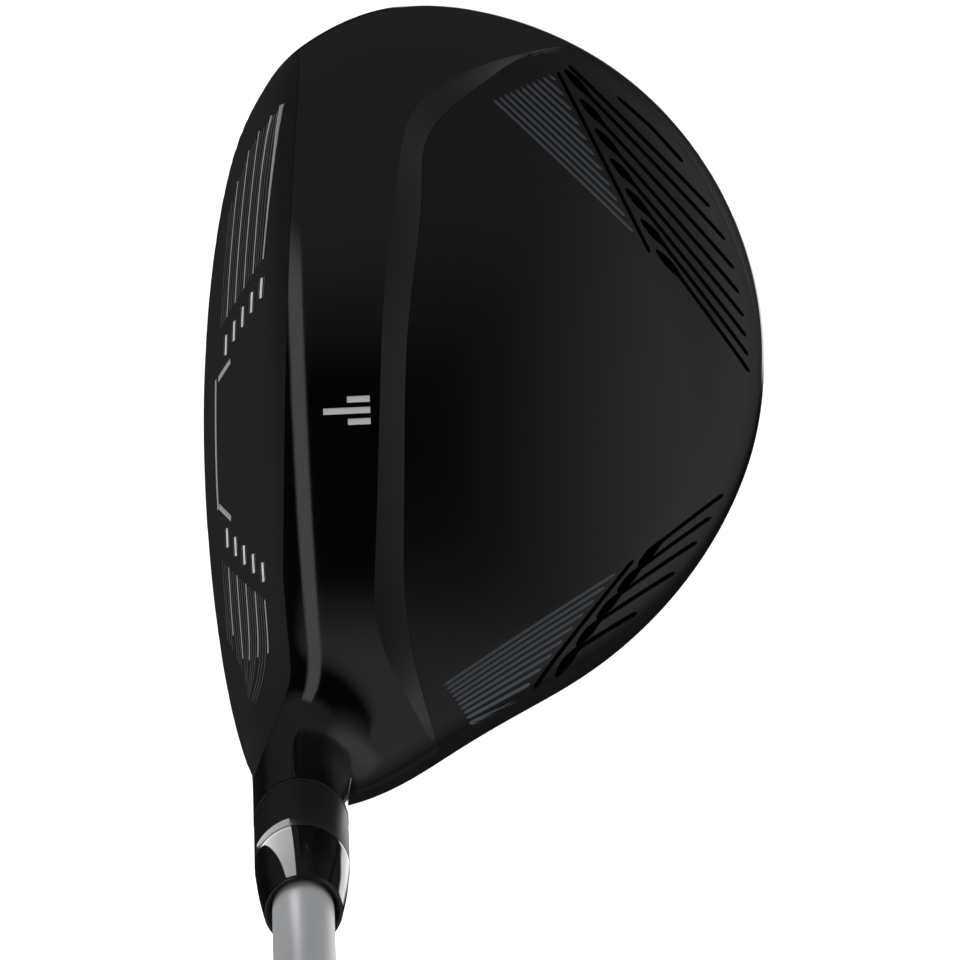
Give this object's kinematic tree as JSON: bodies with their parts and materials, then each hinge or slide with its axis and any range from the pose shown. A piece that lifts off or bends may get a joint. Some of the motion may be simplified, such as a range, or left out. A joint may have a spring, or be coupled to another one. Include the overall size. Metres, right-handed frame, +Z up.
{
  "type": "fairway wood",
  "caption": "Golf fairway wood with a hollow black head, a bonded composite rear crown, an indexed screw-fixed shaft sleeve, a tapered silver shaft and a rubber grip.",
  "frame": {"origin": "centre of the flat pad on the sole, on the ground, with the club standing at address", "axes": "+X from the face towards the back of the head, +Y from heel to toe, +Z up; the shaft leans towards -Y"},
  "size_m": [0.0819, 0.6877, 0.9273],
  "materials": {
    "gloss_black_paint": "deep gloss black lacquer over a cast steel shell",
    "crown_composite": "clear-coated dark carbon composite with printed tone lines",
    "face_steel": "matte dark grey blasted and coated steel with thin score lines",
    "badge_satin": "satin dark anodised aluminium",
    "weight_steel": "turned stainless steel, lightly brushed",
    "weight_tungsten": "sintered tungsten alloy, dull grey",
    "screw_titanium": "turned screw, bead blasted head",
    "clip_nylon": "black moulded nylon",
    "sleeve_anodised": "matte black anodised aluminium",
    "ferrule_gloss": "polished black moulded ferrule",
    "shaft_silver": "silver metallic lacquer over wound carbon fibre, clear coated",
    "plug_brass": "plain turned brass",
    "tape_paper": "double-sided paper tape",
    "grip_rubber": "matte black moulded rubber with a cut pattern"
  },
  "bodies": {
    "head": {"head_body": "gloss_black_paint", "crown_panel": "crown_composite", "face_plate": "face_steel", "sole_badge": "badge_satin", "screw_washer": "weight_steel"},
    "weight": {"sole_weight": "weight_steel", "weight_core": "weight_tungsten"},
    "screw": {"hosel_screw": "screw_titanium", "screw_retainer": "clip_nylon"},
    "ring": {"sleeve_washer": "clip_nylon"},
    "shaft_assembly": {"shaft_sleeve": "sleeve_anodised", "ferrule": "ferrule_gloss", "shaft": "shaft_silver", "tip_plug": "plug_brass", "grip_tape": "tape_paper", "grip": "grip_rubber", "grip_cap": "grip_rubber"}
  },
  "joints": [
    {"name": "sleeve_release", "type": "slide", "parent": "head", "child": "ring", "axis": [0, -0.5373, 0.8434], "range_m": [0, 0.04]},
    {"name": "sleeve_index", "type": "hinge", "parent": "ring", "child": "shaft_assembly", "pos_m": [-0.01, -0.05614, 0.04731], "axis": [0, -0.5373, 0.8434], "continuous": true},
    {"name": "hosel_screw_turn", "type": "hinge", "parent": "head", "child": "screw", "pos_m": [-0.01, -0.0303, 0.00675], "axis": [0, -0.5373, 0.8434], "continuous": true},
    {"name": "sole_weight_turn", "type": "hinge", "parent": "head", "child": "weight", "pos_m": [0.038, 0.004, 0.00437], "axis": [0.234, 0, -0.9722], "continuous": true}
  ]
}
